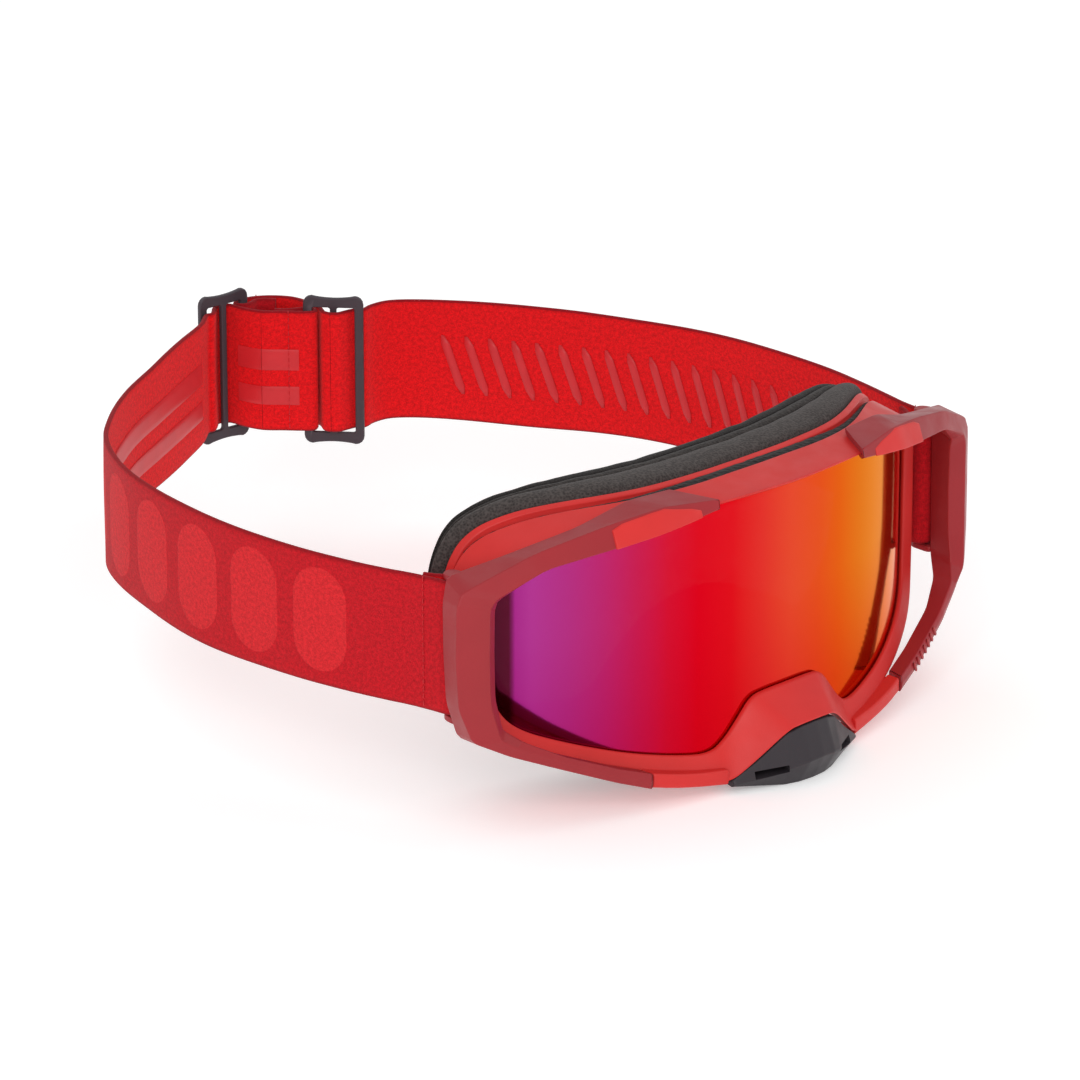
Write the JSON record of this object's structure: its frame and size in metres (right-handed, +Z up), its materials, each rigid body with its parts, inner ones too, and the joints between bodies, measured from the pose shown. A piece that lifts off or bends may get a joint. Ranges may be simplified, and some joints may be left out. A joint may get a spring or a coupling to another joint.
{
  "type": "motorcycle goggles",
  "caption": "Off-road goggles: faceted frame with strap outriggers, mirrored cylindrical lens, layered face foam, clip-in nose guard and an elastic strap with bar sliders.",
  "frame": {"origin": "centre of the footprint at the level of the nose guard's lowest edge", "axes": "+X to the right when facing the front of the goggles, +Y from the lens back to the strap, +Z up as worn"},
  "size_m": [0.2164, 0.2686, 0.088],
  "materials": {
    "frame_red": "moulded, satin, bright red",
    "outrigger_dark_red": "moulded, satin, dark red, with a finely worn sheen on the facets",
    "lens_mirror": "mirror coating that runs from purple through red to gold across the lens",
    "gasket_black": "soft black sealing strip",
    "foam_grey": "open-cell foam, charcoal",
    "foam_dark": "denser open-cell foam, darker",
    "foam_fleece": "brushed fleece facing",
    "vent_foam": "coarse black filter foam",
    "guard_charcoal": "moulded, satin, charcoal",
    "post_charcoal": "moulded pin",
    "webbing_red": "elastic webbing with a two-tone woven pattern of plain rounded shapes",
    "silicone_red": "printed silicone grip shapes",
    "slider_charcoal": "moulded, satin, charcoal"
  },
  "bodies": {
    "goggles": {"front_frame": "frame_red", "face_frame": "frame_red", "lens": "lens_mirror", "lens_gasket": "gasket_black", "foam_base": "foam_grey", "foam_middle": "foam_dark", "foam_face": "foam_fleece", "vent_foam_brow": "vent_foam", "vent_foam_chin_left": "vent_foam", "vent_foam_chin_right": "vent_foam", "outrigger_left": "outrigger_dark_red", "outrigger_right": "outrigger_dark_red", "strap_post_left": "post_charcoal", "strap_post_right": "post_charcoal", "strap_left": "webbing_red", "strap_right": "webbing_red", "grip_print_left": "silicone_red", "grip_print_right": "silicone_red"},
    "nose_guard": {"nose_guard": "guard_charcoal"},
    "slider_left": {"slider_left": "slider_charcoal"},
    "slider_right": {"slider_right": "slider_charcoal"}
  },
  "joints": [
    {"name": "nose_guard_clip", "type": "slide", "parent": "goggles", "child": "nose_guard", "axis": [0, -1, 0], "range_m": [0, 0.012]},
    {"name": "slider_left_travel", "type": "slide", "parent": "goggles", "child": "slider_left", "axis": [-0.8757, -0.4829, 0], "range_m": [0, 0.008], "deforming": ["strap_left", "strap_right"]},
    {"name": "slider_right_travel", "type": "slide", "parent": "goggles", "child": "slider_right", "axis": [0.8757, -0.4829, 0], "range_m": [0, 0.008], "deforming": ["strap_left", "strap_right"]}
  ],
  "couplings": [
    {"joint": "slider_right_travel", "follows": "slider_left_travel", "ratio": 1}
  ]
}
